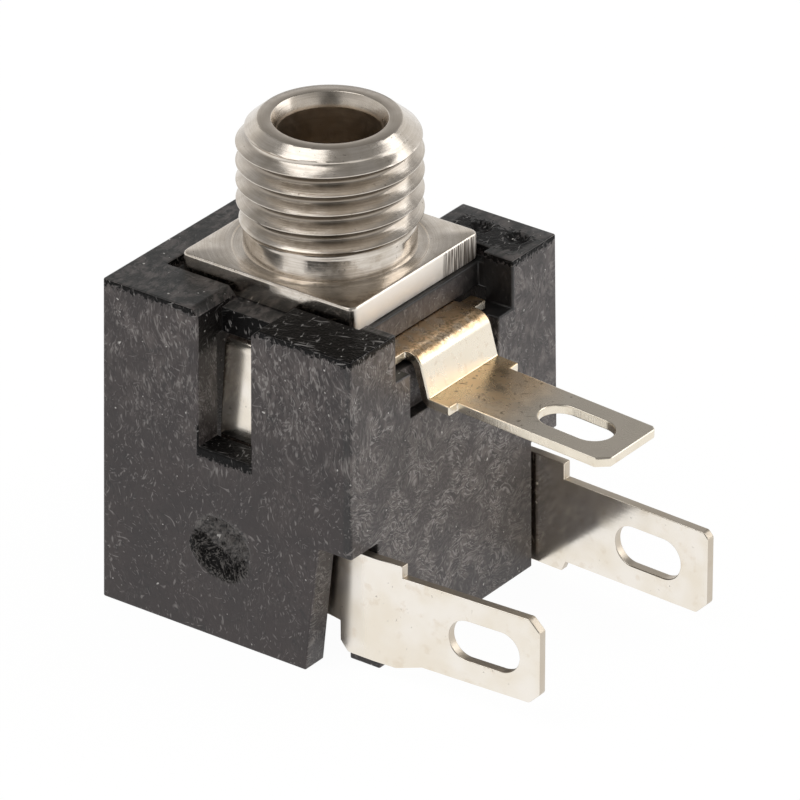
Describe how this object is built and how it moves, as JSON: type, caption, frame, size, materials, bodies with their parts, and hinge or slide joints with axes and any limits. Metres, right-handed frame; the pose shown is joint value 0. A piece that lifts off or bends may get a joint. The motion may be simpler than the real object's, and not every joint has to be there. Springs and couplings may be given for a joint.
{
  "type": "audio jack socket",
  "caption": "Panel jack socket for a 3.5 mm stereo plug: threaded bush with a square flange on a moulded housing, sprung contacts inside and solder lugs on one side.",
  "frame": {"origin": "on the bush axis at the flange's top face, which seats against the panel", "axes": "+Z along the bush axis, the way the plug leaves; +X the way the solder lugs leave"},
  "size_m": [0.018, 0.012, 0.0174],
  "materials": {
    "nylon": "moulded glass-filled nylon, black, satin with fine pale fibres",
    "nickel": "turned brass, nickel plated",
    "plated_strip": "stamped copper-alloy strip, bright plated, with heat tarnish on the sleeve terminal"
  },
  "bodies": {
    "root": {"housing": "nylon", "threaded_bush": "nickel", "sleeve_terminal": "plated_strip", "tip_terminal": "plated_strip", "ring_terminal": "plated_strip"},
    "tip_blade": {"tip_blade": "plated_strip"},
    "ring_blade": {"ring_blade": "plated_strip"}
  },
  "joints": [
    {"name": "tip_blade_flex", "type": "hinge", "parent": "root", "child": "tip_blade", "pos_m": [0, -0.0039, -0.0022], "axis": [-1, 0, 0], "range_deg": [0, 12], "stiffness_Nm_per_rad": 0.02},
    {"name": "ring_blade_flex", "type": "hinge", "parent": "root", "child": "ring_blade", "pos_m": [0, 0.0039, -0.0022], "axis": [1, 0, 0], "range_deg": [0, 12], "stiffness_Nm_per_rad": 0.02}
  ]
}
